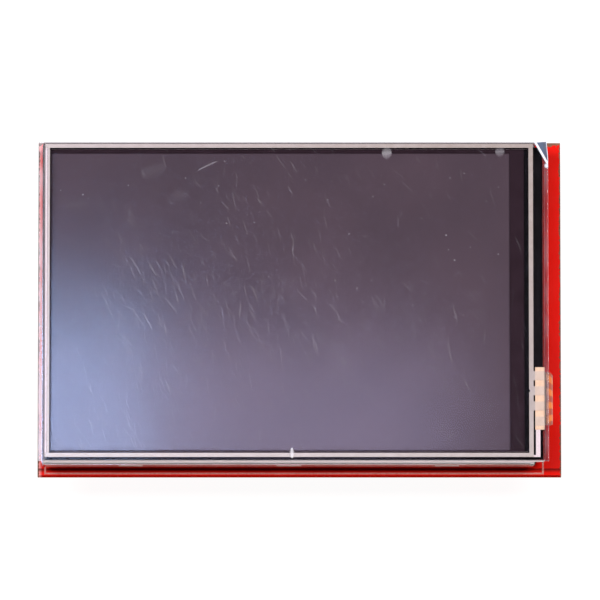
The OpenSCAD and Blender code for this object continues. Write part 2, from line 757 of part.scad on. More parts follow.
// black moulded base with rails for the card and a slot for each contact
module card_socket_base() {
  l = socket_length / 2 - 0.25;
  w = socket_width / 2 - socket_sheet - fit_gap;
  rail = 1.4;
  stop = 1.1;
  lead_in = 0.8;
  step_length = 3.6;
  step_width = 5.2;
  step_depth = 0.25;
  slot_width = 0.7;
  slot_length = contact_length + 0.6;
  tail_room = 0.3;
  top = socket_height - socket_sheet - fit_gap;
  color([0.07, 0.07, 0.08]) under_board() translate([socket_x, 0, 0]) difference() {
    union() {
      translate([-l, -w, 0]) cube([2 * l, 2 * w, socket_floor]);
      for (s = [-1, 1]) translate([-l, s > 0 ? w - rail : -w, 0]) cube([2 * l - lead_in, rail, top]);
      translate([-l, -w, 0]) cube([stop, 2 * w, top]);
    }
    for (i = [0 : contact_count - 1])
      translate([-l - 1, contact_y(i) - slot_width / 2, -1])
        cube([slot_length + 1, slot_width, socket_floor + 1]);
    // one low pocket lets all the solder tails out at the back
    translate([-l - 1, contact_y(contact_count - 1) - slot_width / 2, -1])
      cube([1 + stop / 2, (contact_count - 1) * contact_pitch + slot_width, 1 + tail_room]);
    // the lower step where a pushed card comes out
    translate([l - step_length, -step_width / 2, socket_floor - step_depth])
      cube([step_length + 1, step_width, 1]);
  }
}

function contact_y(i) = ((contact_count - 1) / 2 - i) * contact_pitch;

// bent leaf springs, each with a solder tail behind the socket
module card_socket_contacts() {
  l = socket_length / 2;
  g = 0.14;
  hook = 1;
  rise = 1.9;
  crest = socket_height - socket_sheet - 0.55;
  top_x = -l + contact_length - hook;
  color([0.85, 0.7, 0.35]) under_board() translate([socket_x, 0, 0])
    for (i = [0 : contact_count - 1]) translate([0, contact_y(i), 0])
      across(-contact_width / 2, contact_width / 2)
        polygon([[-l - contact_tail, 0], [-l + rise, 0], [top_x, crest - g],
                 [top_x + hook, crest - 2.6 * g], [top_x + hook, crest - 1.6 * g], [top_x, crest],
                 [-l + rise - 0.1, g], [-l - contact_tail, g]]);
}

shifter_x = -7;
shifter_y = 9.5;
SHIFTERS = [[shifter_x, shifter_y], [shifter_x, -shifter_y]];
lead_pitch = 0.65;
lead_count = 10;
lead_width = 0.24;
lead_out = 1;

// section of a moulded body, widest at its seam halfway up
function drafted(half, lift, top, draft) =
  [[-half + draft, lift], [half - draft, lift], [half, top / 2], [half - draft, top],
   [-half + draft, top], [-half, top / 2]];

// moulded bodies with drafted sides and a small dimple at the first lead
module level_shifter_bodies() {
  lift = 0.1;
  draft = 0.12;
  l = chip_length / 2;
  w = chip_width / 2;
  color([0.09, 0.09, 0.1]) under_board() for (s = SHIFTERS) translate([s[0], s[1], 0]) difference() {
    intersection() {
      across(-w, w) polygon(drafted(l, lift, chip_height, draft));
      rotate([0, 0, 90]) across(-l, l) polygon(drafted(w, lift, chip_height, draft));
    }
    translate([-l + 0.8, -w + 0.8, chip_height - 0.06]) cylinder(r = 0.3, h = 1);
  }
}

// outline of a gull wing lead that leaves the body at x = 0 and stands at reach
function gull_wing(reach, shoulder_z, g) = let (knee = reach * 0.4, heel = reach * 0.55) [
  [0, shoulder_z], [knee - 0.06, shoulder_z], [heel - 0.05, 0], [reach, 0], [reach, g], [heel + 0.05, g],
  [knee + 0.06, shoulder_z + g], [0, shoulder_z + g]];

module level_shifter_leads() {
  g = 0.12;
  color([0.78, 0.78, 0.8]) under_board() for (s = SHIFTERS, side = [0, 180])
    translate([s[0], s[1], 0]) rotate([0, 0, side]) for (i = [0 : lead_count - 1])
      translate([(i - (lead_count - 1) / 2) * lead_pitch, chip_width / 2, 0])
        rotate([0, 0, 90]) across(-lead_width / 2, lead_width / 2)
          polygon(gull_wing(lead_out, chip_height * 0.5 - g / 2, g));
}

regulator_x = 14.5;
regulator_y = 8;
REGULATOR = [regulator_x, regulator_y];
regulator_size = [6.5, 3.5, 1.6];
regulator_reach = 1.75;

module regulator_body() {
  l = regulator_size[0] / 2;
  w = regulator_size[1] / 2;
  h = regulator_size[2];
  color([0.09, 0.09, 0.1]) under_board() translate([REGULATOR[0], REGULATOR[1], 0]) intersection() {
    across(-w, w) polygon(drafted(l, 0.06, h, 0.15));
    rotate([0, 0, 90]) across(-l, l) polygon(drafted(w, 0.06, h, 0.15));
  }
}

// three leads on one side and the wide tab on the other
module regulator_leads() {
  g = 0.25;
  pitch = 2.3;
  lead = 0.74;
  tab = 3;
  w = regulator_size[1] / 2;
  z = regulator_size[2] / 2 - g / 2;
  color([0.76, 0.76, 0.78]) under_board() translate([REGULATOR[0], REGULATOR[1], 0]) {
    for (i = [-1 : 1]) translate([i * pitch, w, 0]) rotate([0, 0, 90])
      across(-lead / 2, lead / 2) polygon(gull_wing(regulator_reach, z, g));
    translate([0, -w, 0]) rotate([0, 0, -90])
      across(-tab / 2, tab / 2) polygon(gull_wing(regulator_reach, z, g));
  }
}

// chip parts: [x, y, quarter turns]; the resistors stand in rows, the capacitors by what they serve
chip_pitch = 2.4;
chip_clear = 2.15;
resistor_size = [1.6, 0.8, 0.45];
capacitor_size = [2, 1.25, 0.9];
socket_side_x = socket_x - socket_length / 2 - chip_clear - 1.2;
RESISTORS = concat([for (i = [0 : 5]) [shifter_x + (i - 2.5) * chip_pitch, 0, 1]],
                   [for (i = [0 : 3]) [regulator_x + (i - 1.5) * chip_pitch, -chip_clear, 1]],
                   [for (i = [0 : 4]) [socket_side_x, (i - 2) * chip_pitch, 0]]);
CAPACITORS = concat([for (s = SHIFTERS) [s[0] + chip_length / 2 + chip_clear, s[1], 1]],
                    [for (k = [-1, 1])
                      [regulator_x + k * (regulator_size[0] / 2 + chip_clear), regulator_y, 1]],
                    [for (k = [-1, 1]) [socket_side_x, k * 4 * chip_pitch, 1]]);
end_share = 0.2;

module chip_body(size) {
  length = size[0] * (1 - 2 * end_share);
  translate([-length / 2, -size[1] / 2, 0.02]) cube([length, size[1], size[2] - 0.04]);
}

module chip_ends(size) {
  cap = size[0] * end_share;
  for (x = [-size[0] / 2, size[0] / 2 - cap]) translate([x, -size[1] / 2, 0]) cube([cap, size[1], size[2]]);
}

module at_spots(spots) {
  under_board() for (s = spots) translate([s[0], s[1], 0]) rotate([0, 0, 90 * s[2]]) children();
}

module resistor_bodies() { color([0.08, 0.08, 0.09]) at_spots(RESISTORS) chip_body(resistor_size); }
module resistor_ends() { color([0.8, 0.8, 0.82]) at_spots(RESISTORS) chip_ends(resistor_size); }
module capacitor_bodies() { color([0.62, 0.47, 0.32]) at_spots(CAPACITORS) chip_body(capacitor_size); }
module capacitor_ends() { color([0.8, 0.8, 0.82]) at_spots(CAPACITORS) chip_ends(capacitor_size); }

protective_film();
touch_film();
film_silver_tracks();
touch_spacer_frame();
glass_silver_tracks();
touch_glass();
touch_flex();
touch_flex_fingers();
touch_flex_solder();
touch_mounting_tape();
front_polarizer();
colour_filter_glass();
tft_glass();
rear_polarizer();
driver_chip();
ledge_tape();
display_flex();
display_flex_solder();
rim_tape();
upper_prism_sheet();
lower_prism_sheet();
diffuser_sheet();
light_guide();
reflector_sheet();
backlight_leds();
led_flex();
backlight_frame();
rear_can();
foam_tape();
circuit_board();
board_silkscreen();
digital_low_strip();
digital_low_pins();
digital_high_strip();
digital_high_pins();
power_strip();
power_pins();
analog_strip();
analog_pins();
header_solder();
card_socket_shell();
card_socket_base();
card_socket_contacts();
level_shifter_bodies();
level_shifter_leads();
regulator_body();
regulator_leads();
resistor_bodies();
resistor_ends();
capacitor_bodies();
capacitor_ends();
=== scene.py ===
"""Display shield: a colour TFT panel with a resistive touch panel, glued to a red board that plugs
into a microcontroller board. It stands on its header pins, display side up."""
import math
import bpy
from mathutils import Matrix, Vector
import numpy as np


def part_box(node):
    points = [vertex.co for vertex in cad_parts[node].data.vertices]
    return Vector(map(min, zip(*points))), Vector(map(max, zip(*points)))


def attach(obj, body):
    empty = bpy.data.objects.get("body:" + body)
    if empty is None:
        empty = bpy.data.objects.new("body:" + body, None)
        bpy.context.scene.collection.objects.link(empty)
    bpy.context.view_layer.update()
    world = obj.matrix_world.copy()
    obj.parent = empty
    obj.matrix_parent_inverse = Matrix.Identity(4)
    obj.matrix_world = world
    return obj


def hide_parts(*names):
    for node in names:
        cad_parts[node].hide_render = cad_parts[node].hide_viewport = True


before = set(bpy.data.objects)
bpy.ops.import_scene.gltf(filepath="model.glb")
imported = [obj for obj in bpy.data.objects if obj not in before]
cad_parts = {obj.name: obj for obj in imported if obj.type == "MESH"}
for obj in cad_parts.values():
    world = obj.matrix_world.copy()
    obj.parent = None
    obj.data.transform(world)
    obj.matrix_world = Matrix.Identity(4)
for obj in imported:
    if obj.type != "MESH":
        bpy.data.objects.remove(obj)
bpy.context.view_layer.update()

# ---- circuit board ------------------------------------------------------------------------
# Glass fibre laminate, routed to size, with red solder mask screened on both faces. The mask meets
# the near edge and stops short of the other ones, where ragged brown laminate shows. A pale stripe
# along the far end is a painted highlight on the mask's edge. The side faces are a darker red, partly
# the thin mask over laminate and partly painted shade. The strip at the foot of the can lies in
# shade, which is painted on it as a darker red.

mm = 0.001


def linear(code):
    """sRGB hex to linear colour: c / 12.92 in the darks, ((c + 0.055) / 1.055) ^ 2.4 above them."""
    c = np.array([int(code[i:i + 2], 16) for i in (1, 3, 5)]) / 255
    return (*np.where(c <= 0.04045, c / 12.92, ((c + 0.055) / 1.055) ** 2.4), 1)


def add(tree, kind, inputs=None, out=0, **settings):
    """One shader node: settings are its properties, inputs its sockets, as values or as links.
    It gives back the output that out names."""
    node = tree.nodes.new("ShaderNode" + kind)
    for name, value in settings.items():
        setattr(node, name, value)
    for name, value in (inputs or {}).items():
        if isinstance(value, bpy.types.NodeSocket):
            tree.links.new(value, node.inputs[name])
        else:
            node.inputs[name].default_value = value
    return node.outputs[out]


def surface(name, sockets):
    """A new material: its tree, its Principled shader with the sockets set, and Object coordinates."""
    material = bpy.data.materials.new(name)
    material.use_nodes = True
    tree = material.node_tree
    shader = tree.nodes["Principled BSDF"]
    for socket, value in sockets.items():
        shader.inputs[socket].default_value = value
    return material, tree, shader, add(tree, "TexCoord", out="Object")


def mottle(tree, where, size, low=0.0, high=1.0, detail=2.0, seed=0.0):
    """Random patches size mm across: noise between 0.3 and 0.7, stretched to run from low to high."""
    noise = add(tree, "TexNoise", {"Vector": where, "Scale": 1 / (size * mm), "Detail": detail, "W": seed},
                noise_dimensions="4D")
    return add(tree, "MapRange", {"Value": noise, "From Min": 0.3, "From Max": 0.7,
                                  "To Min": low, "To Max": high})


def dress(material, *nodes):
    """Puts one material on each of the named CAD nodes."""
    for node in nodes:
        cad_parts[node].data.materials.clear()
        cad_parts[node].data.materials.append(material)


board_low, board_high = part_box("circuit_board")
short_rim = 0.2
back_rim = 0.55
edge_highlight_width = 0.75 * mm
foot_shade_width = 0.5 * mm
weave_pitch = 0.45
material, tree, shader, where = surface("red_solder_mask", {"Specular IOR Level": 0.1})
axes = add(tree, "SeparateXYZ", {0: where}).node.outputs
facing = add(tree, "SeparateXYZ", {0: add(tree, "TexCoord", out="Normal")}).node.outputs
ragged = mottle(tree, where, 0.5, 0.1 * mm, 1.9 * mm, 3.0)
from_end = add(tree, "Math", {0: board_high.x, 1: add(tree, "Math", {0: axes[0]}, operation="ABSOLUTE")},
               operation="SUBTRACT")
from_back = add(tree, "Math", {0: board_high.y, 1: axes[1]}, operation="SUBTRACT")
bare = 0.0
for reach, rim in ((from_end, short_rim), (from_back, back_rim)):
    cut = add(tree, "Math", {0: ragged, 1: rim}, operation="MULTIPLY")
    cut = add(tree, "Math", {0: reach, 1: cut}, operation="LESS_THAN")
    bare = add(tree, "Math", {0: bare, 1: cut}, operation="MAXIMUM")
# a pale stripe along the far end: a painted highlight on the mask's edge
edge_highlight = add(tree, "MapRange", {"Value": axes[0], "From Min": board_low.x + edge_highlight_width,
                              "From Max": board_low.x})
layers = add(tree, "TexWave", {"Vector": where, "Scale": 1 / (1.2 * mm), "Distortion": 1.5, "Detail": 2.0},
             out=1, bands_direction="Z")
laminate = add(tree, "Mix", {0: layers, 6: linear("#6B4433"), 7: linear("#A67A63")}, out=2,
               data_type="RGBA")
top = add(tree, "Math", {0: facing[2]}, operation="ABSOLUTE")
level = add(tree, "Math", {0: top, 1: 0.5}, operation="GREATER_THAN")
tone = add(tree, "Mix", {0: mottle(tree, where, 9), 6: linear("#D61004"), 7: linear("#E41406")}, out=2,
           data_type="RGBA")
# the side faces get a darker red: partly thin mask over laminate, partly painted shade
red = add(tree, "Mix", {0: level, 6: linear("#A8150C"), 7: tone}, out=2, data_type="RGBA")
red = add(tree, "Mix", {0: edge_highlight, 6: red, 7: linear("#F6B4B0")}, out=2, data_type="RGBA")
# painted shade: the strip at the can's foot is darkened towards the can
can_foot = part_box("rear_can")[0].y
shade = add(tree, "MapRange", {"Value": axes[1], "From Min": can_foot - foot_shade_width,
                               "From Max": can_foot, "To Max": 0.75})
near_strip = add(tree, "Math", {0: axes[1], 1: can_foot + 0.2 * mm}, operation="LESS_THAN")
shade = add(tree, "Math", {0: shade, 1: near_strip}, operation="MULTIPLY")
red = add(tree, "Mix", {0: shade, 6: red, 7: linear("#3A0402")}, out=2, data_type="RGBA")
board_colour = add(tree, "Mix", {0: bare, 6: red, 7: laminate}, out=2, data_type="RGBA")
tree.links.new(board_colour, shader.inputs["Base Color"])
matt = add(tree, "BsdfDiffuse", {"Color": board_colour})
faces = add(tree, "MixShader", {0: level, 1: matt, 2: shader.outputs[0]})
tree.links.new(faces, tree.nodes["Material Output"].inputs["Surface"])
tree.links.new(mottle(tree, where, 3, 0.28, 0.42), shader.inputs["Roughness"])
weave = [add(tree, "TexWave", {"Vector": where, "Scale": 0.16 / (weave_pitch * mm)}, out=1,
             bands_direction=axis) for axis in "XY"]
weave = add(tree, "Math", {0: weave[0], 1: weave[1]}, operation="ADD")
bump = add(tree, "Bump", {"Height": weave, "Distance": 0.004 * mm, "Strength": 1.0})
tree.links.new(bump, shader.inputs["Normal"])
dress(material, "circuit_board")

# ---- printed outlines on the board -----------------------------------------------------------
# White epoxy ink, screened on the mask as fine lines. It is thin, so some red comes through, and
# its colour is also darkened as painted shade, like the strip at the can's foot.

material, tree, shader, where = surface("white_screen_print", {"Roughness": 0.55})
# the dark pink is partly red showing through the thin ink, partly painted shade
ink = add(tree, "Mix", {0: mottle(tree, where, 0.35), 6: linear("#B6564E"), 7: linear("#CE857F")}, out=2,
          data_type="RGBA")
tree.links.new(ink, shader.inputs["Base Color"])
dress(material, "board_silkscreen")

# ---- plain moulded, fired and woven pieces ---------------------------------------------------
# Plastics, ceramics, foam and films that need no pattern of their own: a base colour with soft
# patches of a second one, a grain of the real size in mm, and a gloss that changes with it.

PLAIN = {
    # name: two colours, patch size, grain size, grain depth, roughness, nodes
    "black_moulded_polyester": ("#0E0E0F", "#1A1A1B", 2.5, 0.12, 0.006, 0.42,
                                ("digital_low_strip", "digital_high_strip", "power_strip",
                                 "analog_strip", "card_socket_base")),
    "black_chip_epoxy": ("#151517", "#232326", 1.2, 0.08, 0.005, 0.58,
                         ("level_shifter_bodies", "regulator_body")),
    "black_resistor_glaze": ("#0B0B0D", "#1B1B20", 0.6, 0.1, 0.002, 0.22, ("resistor_bodies",)),
    "tan_fired_ceramic": ("#8E6C4C", "#A98662", 0.5, 0.06, 0.004, 0.5, ("capacitor_bodies",)),
    "white_foam_tape": ("#DAD9D2", "#EFEEE8", 1.5, 0.3, 0.05, 0.9, ("foam_tape",)),
    "white_moulded_polycarbonate": ("#E6E5DD", "#F2F1EC", 6, 0.1, 0.004, 0.35, ("backlight_frame",)),
    "white_film": ("#E9EAEA", "#F6F6F5", 8, 0.1, 0.002, 0.45,
                   ("diffuser_sheet", "reflector_sheet", "led_flex")),
    "yellow_phosphor": ("#D9B93A", "#EEDD84", 0.7, 0.05, 0.003, 0.3, ("backlight_leds",)),
    "clear_moulded_acrylic": ("#C9D3D4", "#DDE5E6", 7, 1.1, 0.01, 0.12, ("light_guide",)),
    "prism_film": ("#C4C9CE", "#D5DADE", 5, 0.25, 0.01, 0.3, ("upper_prism_sheet", "lower_prism_sheet")),
    "polished_silicon": ("#4A4B52", "#5C5E68", 3, 0.4, 0.001, 0.12, ("driver_chip",)),
    "black_polyester_tape": ("#0B0A0D", "#141217", 4, 0.15, 0.004, 0.5, ("rim_tape",)),
}
for name, (dark, light, patch, grain, depth, gloss, nodes) in PLAIN.items():
    material, tree, shader, where = surface(name, {"Roughness": gloss})
    colour = add(tree, "Mix", {0: mottle(tree, where, patch), 6: linear(dark), 7: linear(light)}, out=2,
                 data_type="RGBA")
    tree.links.new(colour, shader.inputs["Base Color"])
    tree.links.new(mottle(tree, where, 3 * grain, 0.85 * gloss, min(1.15 * gloss, 1)),
                   shader.inputs["Roughness"])
    bump = add(tree, "Bump", {"Height": mottle(tree, where, grain), "Distance": depth * mm})
    tree.links.new(bump, shader.inputs["Normal"])
    dress(material, *nodes)

# ---- bare and plated metal -------------------------------------------------------------------
# Rolled stainless for the can, tin plated steel and copper for the card socket and the leads,
# gold plated pins and bright solder. Rolling leaves fine lines along the sheet, tin a soft grain.

METAL = {
    # name: two colours, patch size, line length and width, line depth, roughness, nodes
    "rolled_stainless": ("#B9B4B0", "#D2CECA", 9, (6, 0.12), 0.001, 0.1, ("rear_can",)),
    "tin_plated_steel": ("#B4B6B8", "#D0D1D2", 3, (3, 0.15), 0.003, 0.3, ("card_socket_shell",)),
    "tin_plated_copper": ("#AEB0B3", "#CDCED0", 0.8, (0.4, 0.2), 0.004, 0.36,
                          ("level_shifter_leads", "regulator_leads", "resistor_ends", "capacitor_ends")),
    "gold_plate": ("#C99C46", "#E6C476", 1.5, (0.5, 0.2), 0.002, 0.24,
                   ("digital_low_pins", "digital_high_pins", "power_pins", "analog_pins",
                    "card_socket_contacts")),
    "bright_solder": ("#A9ACB2", "#CFD1D5", 0.5, (0.3, 0.3), 0.01, 0.22,
                      ("header_solder", "touch_flex_solder", "display_flex_solder")),
}
for name, (dark, light, patch, line, depth, gloss, nodes) in METAL.items():
    material, tree, shader, where = surface(name, {"Roughness": gloss, "Metallic": 1.0})
    colour = add(tree, "Mix", {0: mottle(tree, where, patch), 6: linear(dark), 7: linear(light)}, out=2,
                 data_type="RGBA")
    tree.links.new(colour, shader.inputs["Base Color"])
    along = add(tree, "Mapping", {"Vector": where, "Scale": (line[1] / line[0], 1, 1)})
    lines = mottle(tree, along, line[1])
    bump = add(tree, "Bump", {"Height": lines, "Distance": depth * mm})
    tree.links.new(bump, shader.inputs["Normal"])
    spread = add(tree, "MapRange", {"Value": lines, "To Min": 0.8 * gloss, "To Max": 1.3 * gloss})
    tree.links.new(spread, shader.inputs["Roughness"])
    dress(material, *nodes)

# ---- glass and polarizers of the display -------------------------------------------------------
# Two sheets of glass between polarizing films. Behind the front film the picture area returns
# some mauve grey light, and the black print round it returns almost none. The picture area alone
# has a soft sheen, which stands for the sheen of the layers over it. The tape beside it is matt.

glass_low, glass_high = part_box("touch_glass")
view_border = {"far": 1.35, "near": 2.0, "flex": 5.65, "back": 1.55}
picture = (glass_low.x + view_border["far"] * mm, glass_low.y + view_border["near"] * mm,
           glass_high.x - view_border["flex"] * mm, glass_high.y - view_border["back"] * mm)
material, tree, shader, where = surface("front_polarizing_film",
                                        {"Roughness": 0.5, "Specular IOR Level": 0.0})
axes = add(tree, "SeparateXYZ", {0: where}).node.outputs
inside = 1.0
for axis, low, high in ((0, picture[0], picture[2]), (1, picture[1], picture[3])):
    middle = add(tree, "Math", {0: axes[axis], 1: (low + high) / 2}, operation="SUBTRACT")
    middle = add(tree, "Math", {0: middle}, operation="ABSOLUTE")
    within = add(tree, "MapRange", {"Value": middle, "From Min": (high - low) / 2 + 0.1 * mm,
                                    "From Max": (high - low) / 2 - 0.2 * mm})
    inside = add(tree, "Math", {0: inside, 1: within}, operation="MULTIPLY")
cells = add(tree, "Mix", {0: mottle(tree, where, 14, seed=3.0), 6: linear("#4C3D45"), 7: linear("#54434B")},
            out=2, data_type="RGBA")
tone = add(tree, "Mix", {0: inside, 6: linear("#2C1D24"), 7: cells}, out=2, data_type="RGBA")
tree.links.new(tone, shader.inputs["Base Color"])
share = add(tree, "Math", {0: add(tree, "Fresnel", {"IOR": 2.0}), 1: inside}, operation="MULTIPLY")
glossy = add(tree, "BsdfGlossy", {"Roughness": 0.15})
sheen = add(tree, "MixShader", {0: share, 1: shader.outputs[0], 2: glossy})
tree.links.new(sheen, tree.nodes["Material Output"].inputs["Surface"])
dress(material, "front_polarizer")

material, tree, shader, where = surface("black_mounting_tape", {"Roughness": 0.6, "Specular IOR Level": 0.0})
tint = add(tree, "Mix", {0: mottle(tree, where, 4), 6: linear("#2B1E24"), 7: linear("#32242B")}, out=2,
           data_type="RGBA")
tree.links.new(tint, shader.inputs["Base Color"])
dress(material, "touch_mounting_tape")

material, tree, shader, where = surface("display_glass", {"Roughness": 0.08, "IOR": 1.52})
tint = add(tree, "Mix", {0: mottle(tree, where, 6), 6: linear("#1A1D1F"), 7: linear("#262B2D")}, out=2,
           data_type="RGBA")
tree.links.new(tint, shader.inputs["Base Color"])
bump = add(tree, "Bump", {"Height": mottle(tree, where, 0.6), "Distance": 0.004 * mm})
tree.links.new(bump, shader.inputs["Normal"])
dress(material, "colour_filter_glass", "tft_glass")

material, tree, shader, where = surface("rear_polarizing_film", {"Roughness": 0.4})
tint = add(tree, "Mix", {0: mottle(tree, where, 5), 6: linear("#2B282E"), 7: linear("#38343B")}, out=2,
           data_type="RGBA")
tree.links.new(tint, shader.inputs["Base Color"])
dress(material, "rear_polarizer")

# ---- black tape over the ledge ---------------------------------------------------------------
# Thin polyester tape that hides the driver chip and keeps the flex insulated. It is smooth enough
# to sheen, and dips a little over the chip below it.

material, tree, shader, where = surface("ledge_cover_tape", {"Roughness": 0.34, "Specular IOR Level": 0.1})
tone = add(tree, "Mix", {0: mottle(tree, where, 5), 6: linear("#0D090C"), 7: linear("#1A151A")}, out=2,
           data_type="RGBA")
tree.links.new(tone, shader.inputs["Base Color"])
bump = add(tree, "Bump", {"Height": mottle(tree, where, 2.5), "Distance": 0.05 * mm})
tree.links.new(bump, shader.inputs["Normal"])
dress(material, "ledge_tape")

# ---- flexible circuits -------------------------------------------------------------------------
# Orange polyimide over bright copper traces. Where the touch flex is bonded, the film, the
# adhesive and the contacts over it turn it cream.

flex_low, flex_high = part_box("touch_flex")
finger_pitch = 2.54
fan_pitch = 2.0
bond_mid_y = (flex_low.y + flex_high.y) / 2
panel_end = glass_high.x
material, tree, shader, where = surface("polyimide_over_copper", {"Roughness": 0.3, "IOR": 1.6})
axes = add(tree, "SeparateXYZ", {0: where}).node.outputs
fan = add(tree, "MapRange", {"Value": axes[0], "From Min": panel_end, "From Max": flex_high.x,
                             "To Min": 1 / (finger_pitch * mm), "To Max": 1 / (fan_pitch * mm)})
across = add(tree, "Math", {0: axes[1], 1: bond_mid_y}, operation="SUBTRACT")
across = add(tree, "Math", {0: across, 1: fan}, operation="MULTIPLY")
stripe = add(tree, "Math", {0: across, 1: 0.5}, operation="PINGPONG")
copper = add(tree, "MapRange", {"Value": stripe, "From Min": 0.2, "From Max": 0.3},
             interpolation_type="SMOOTHSTEP")
between = add(tree, "Mix", {0: mottle(tree, where, 0.8), 6: linear("#963008"), 7: linear("#B4420F")}, out=2,
              data_type="RGBA")
gleam = add(tree, "Mix", {0: mottle(tree, where, 0.9, seed=5.0), 6: linear("#D0600A"), 7: linear("#E07C18")},
            out=2, data_type="RGBA")
orange = add(tree, "Mix", {0: copper, 6: between, 7: gleam}, out=2, data_type="RGBA")
bonded = add(tree, "Math", {0: axes[0], 1: panel_end + 0.15 * mm}, operation="LESS_THAN")
high_up = add(tree, "Math", {0: axes[2], 1: glass_high.z - 0.1 * mm}, operation="GREATER_THAN")
bonded = add(tree, "Math", {0: bonded, 1: high_up}, operation="MULTIPLY")
cream = add(tree, "Mix", {0: mottle(tree, where, 0.5), 6: linear("#E3BE98"), 7: linear("#EBD0AE")}, out=2,
            data_type="RGBA")
flex_colour = add(tree, "Mix", {0: bonded, 6: orange, 7: cream}, out=2, data_type="RGBA")
tree.links.new(flex_colour, shader.inputs["Base Color"])
bump = add(tree, "Bump", {"Height": copper, "Distance": 0.03 * mm})
tree.links.new(bump, shader.inputs["Normal"])
dress(material, "touch_flex", "display_flex")

# ---- silver conductors ---------------------------------------------------------------------------
# Silver ink screened round the touch panel, on the film and on the glass: matt and pale, with
# a faint grain from the screen. The contacts on the flex are the same ink, a little browner.

INKS = {
    "glass_silver_ink": ("#E6DCDB", "#F0E7E6", ("glass_silver_tracks",)),
    "contact_silver_ink": ("#CDB9A4", "#D6C4B1", ("touch_flex_fingers",)),
}
for name, (dark, light, nodes) in INKS.items():
    material, tree, shader, where = surface(name, {"Roughness": 0.5, "Specular IOR Level": 0.2})
    colour = add(tree, "Mix", {0: mottle(tree, where, 1.2), 6: linear(dark), 7: linear(light)}, out=2,
                 data_type="RGBA")
    tree.links.new(colour, shader.inputs["Base Color"])
    bump = add(tree, "Bump", {"Height": mottle(tree, where, 0.15), "Distance": 0.01 * mm})
    tree.links.new(bump, shader.inputs["Normal"])
    dress(material, *nodes)

# the lines under the film grow greyer towards the back and the flex end: a painted gradient of light,
# paler at the near left where the lamps' glare falls, with random patches over it
glare_reach = 66 * mm
material, tree, shader, where = surface("film_silver_ink", {"Roughness": 0.5, "Specular IOR Level": 0.2})
axes = add(tree, "SeparateXYZ", {0: where}).node.outputs
along = add(tree, "Math", {0: axes[0], 1: axes[1]}, operation="ADD")
glare_and_patches = add(tree, "MapRange", {"Value": along, "From Min": -glare_reach, "From Max": glare_reach})
patches = mottle(tree, where, 1.2, -0.12, 0.12)
glare_and_patches = add(tree, "Math", {0: glare_and_patches, 1: patches}, operation="ADD", use_clamp=True)
colour = add(tree, "Mix", {0: glare_and_patches, 6: linear("#D0C9C3"), 7: linear("#A59B90")}, out=2, data_type="RGBA")
tree.links.new(colour, shader.inputs["Base Color"])
dress(material, "film_silver_tracks")

# ---- touch glass, spacer adhesive and touch film ---------------------------------------------------
# Float glass below, a frame of clear adhesive, and a hard coated film above. Each is cut to the
# same rectangle, and its edge is broken by the scribe or the knife, so the edges catch the light. The
# edges that face the near side are painted pale, a painted highlight, and the glass is painted darker
# within its margin, a painted shade.


def new_piece(name, points, faces, material, node=None):
    """A mesh object at the origin that rides on the root, and may stand for one CAD node."""
    mesh = bpy.data.meshes.new(name)
    mesh.from_pydata(points.reshape(-1, 3).tolist(), [], faces)
    mesh.materials.append(material)
    piece = bpy.data.objects.new(name, mesh)
    bpy.context.scene.collection.objects.link(piece)
    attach(piece, "root")
    if node:
        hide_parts(node)
    return piece


def slab(low, high, corner, edge, steps=4):
    """A sheet with round corners and edges. Its outline is four arcs of the corner radius; its
    section leaves the bottom on a quarter circle of the edge radius, and meets the top on one."""
    turn = np.linspace(0, math.pi / 2, steps + 1)
    section = np.concatenate([
        np.stack([edge - edge * np.sin(turn), edge - edge * np.cos(turn)], 1),
        np.stack([edge - edge * np.cos(turn), high[2] - low[2] - edge + edge * np.sin(turn)], 1)])
    around = (np.arange(4)[:, None] * math.pi / 2 + turn).ravel()
    centre = np.repeat([[high[0], high[1]], [low[0], high[1]], [low[0], low[1]], [high[0], low[1]]],
                       steps + 1, axis=0) + corner * np.repeat([[-1, -1], [1, -1], [1, 1], [-1, 1]],
                                                               steps + 1, axis=0)
    radius = corner - section[:, 0][:, None]
    points = np.stack([centre[:, 0] + radius * np.cos(around), centre[:, 1] + radius * np.sin(around),
                       np.repeat(low[2] + section[:, 1][:, None], len(around), axis=1)], -1)
    rings, count = points.shape[:2]
    ids = np.arange(rings * count).reshape(rings, count)
    beside = np.roll(ids, -1, axis=1)
    walls = np.stack([ids[:-1], beside[:-1], beside[1:], ids[1:]], -1).reshape(-1, 4).tolist()
    return points, walls + [ids[0][::-1].tolist(), ids[-1].tolist()]


